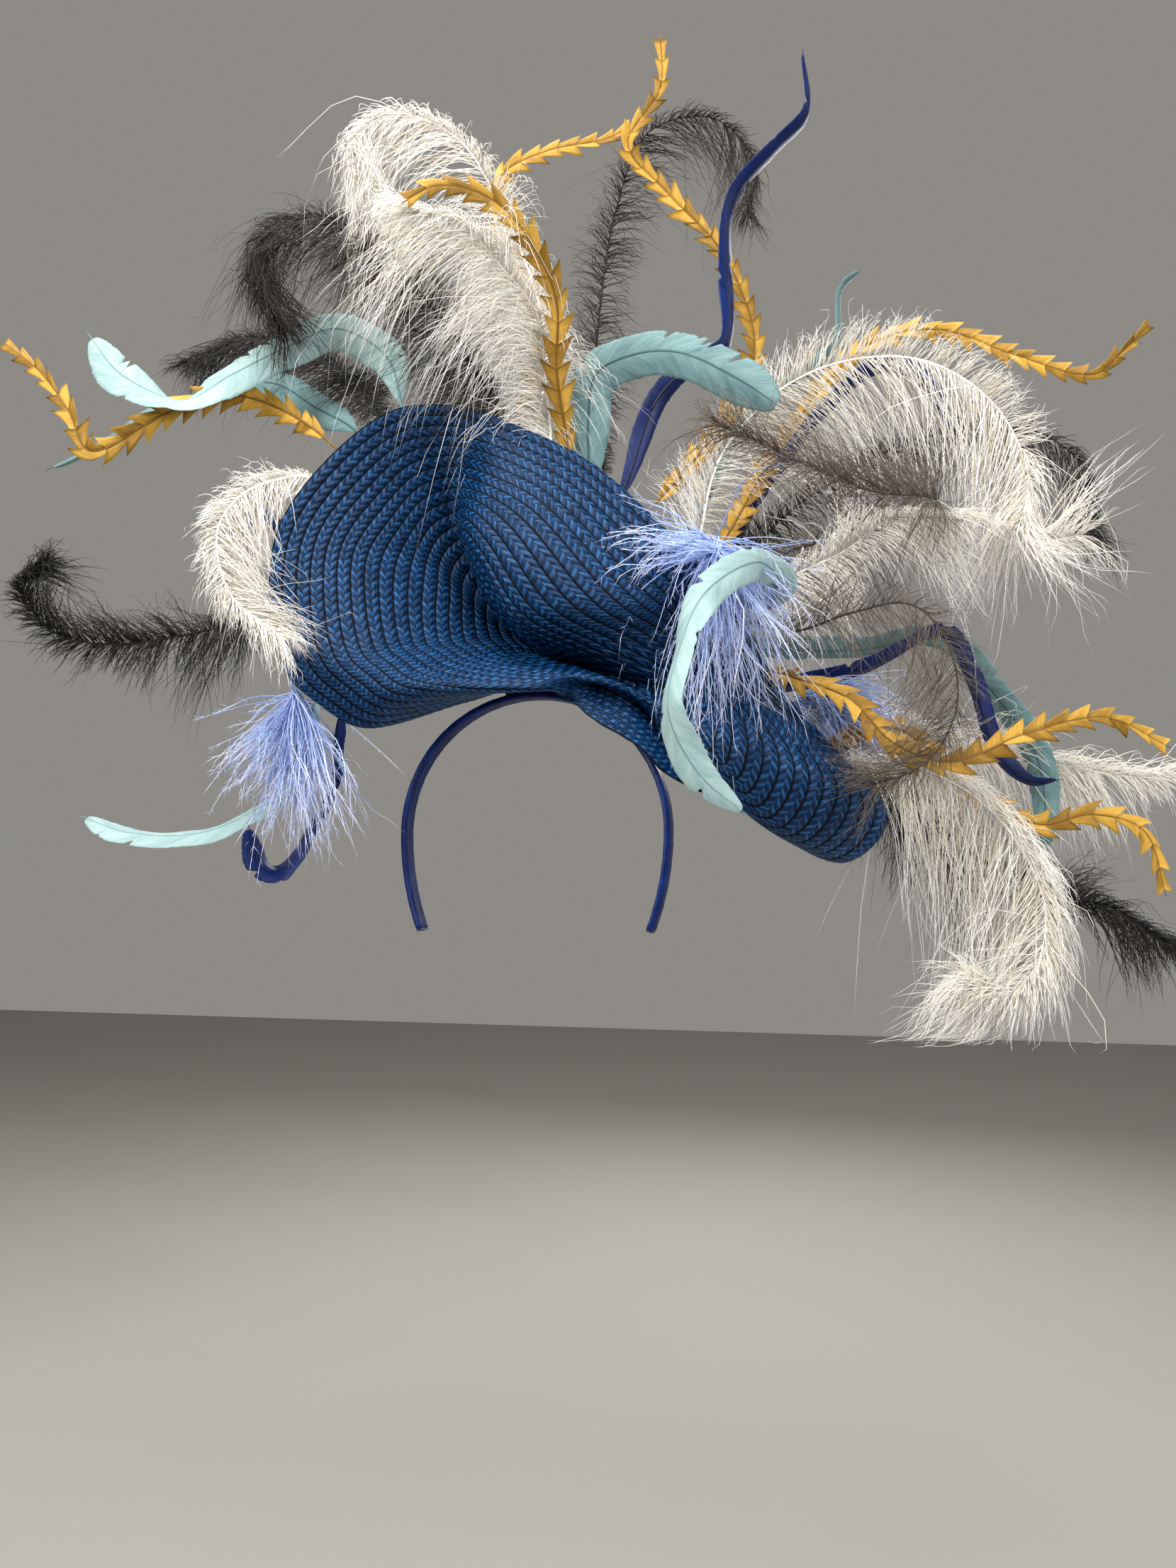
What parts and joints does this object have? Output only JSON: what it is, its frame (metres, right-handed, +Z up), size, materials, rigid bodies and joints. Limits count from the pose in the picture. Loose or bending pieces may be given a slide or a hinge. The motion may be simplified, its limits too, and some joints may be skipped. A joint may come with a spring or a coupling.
{
  "type": "fascinator headpiece",
  "caption": "Folded braid-disc fascinator on a sprung headband, trimmed with curled plumes, cut quills and fluffy tufts.",
  "frame": {"origin": "centre of the circle on which the headband grips the head, midway across the band's width", "axes": "+Z up, +X to the wearer's left, -Y to the wearer's front; the headband lies in the XZ plane"},
  "size_m": [0.6588, 0.2642, 0.5903],
  "materials": {
    "band_core": "matte",
    "navy_satin": "satin",
    "navy_felt": "matte",
    "thread": "satin",
    "wire": "satin",
    "braid": "satin",
    "marabou_blue": "soft",
    "quill_gold": "satin",
    "quill_navy": "satin",
    "quill_aqua": "satin",
    "plume_white": "soft",
    "plume_grey": "soft",
    "plume_dark": "soft"
  },
  "bodies": {
    "crown": {"arrow_gold_back": "quill_gold", "arrow_gold_left": "quill_gold", "arrow_gold_long": "quill_gold", "arrow_gold_near": "quill_gold", "arrow_gold_right": "quill_gold", "arrow_gold_small": "quill_gold", "arrow_gold_tall": "quill_gold", "braid_disc": "braid", "coque_aqua_front": "quill_aqua", "coque_aqua_lower": "quill_aqua", "coque_aqua_right": "quill_aqua", "coque_aqua_tail": "quill_aqua", "coque_aqua_tip": "quill_aqua", "coque_aqua_top": "quill_aqua", "coque_aqua_upper": "quill_aqua", "coque_navy_left": "quill_navy", "coque_navy_loop": "quill_navy", "coque_navy_low": "quill_navy", "coque_navy_right": "quill_navy", "coque_navy_top": "quill_navy", "crown_pad": "navy_felt", "edge_wire": "wire", "felt_patch_left": "navy_felt", "felt_patch_low_left": "navy_felt", "felt_patch_right": "navy_felt", "felt_patch_tail": "navy_felt", "felt_patch_top": "navy_felt", "headband_crown": "band_core", "marabou_left": "marabou_blue", "marabou_low": "marabou_blue", "marabou_right": "marabou_blue", "plume_brown_hook": "plume_dark", "plume_dark_left": "plume_dark", "plume_dark_low": "plume_dark", "plume_dark_low_right": "plume_dark", "plume_dark_right": "plume_dark", "plume_grey_behind": "plume_grey", "plume_grey_hook": "plume_grey", "plume_grey_low": "plume_grey", "plume_grey_over": "plume_grey", "plume_grey_right": "plume_grey", "plume_white_far": "plume_white", "plume_white_left": "plume_white", "plume_white_low": "plume_white", "plume_white_mid": "plume_white", "plume_white_near": "plume_white", "plume_white_right": "plume_white", "plume_white_tall": "plume_white", "satin_cover_crown": "navy_satin", "tacking_stitches": "thread"},
    "arm_left": {"headband_arm_left": "band_core", "satin_cover_left": "navy_satin"},
    "arm_right": {"headband_arm_right": "band_core", "satin_cover_right": "navy_satin"}
  },
  "joints": [
    {"name": "arm_left_flex", "type": "hinge", "parent": "crown", "child": "arm_left", "pos_m": [0.06582, 0, 0.038], "axis": [0, -1, 0], "range_deg": [0, 8], "stiffness_Nm_per_rad": 0.8},
    {"name": "arm_right_flex", "type": "hinge", "parent": "crown", "child": "arm_right", "pos_m": [-0.06582, 0, 0.038], "axis": [0, 1, 0], "range_deg": [0, 8], "stiffness_Nm_per_rad": 0.8}
  ]
}
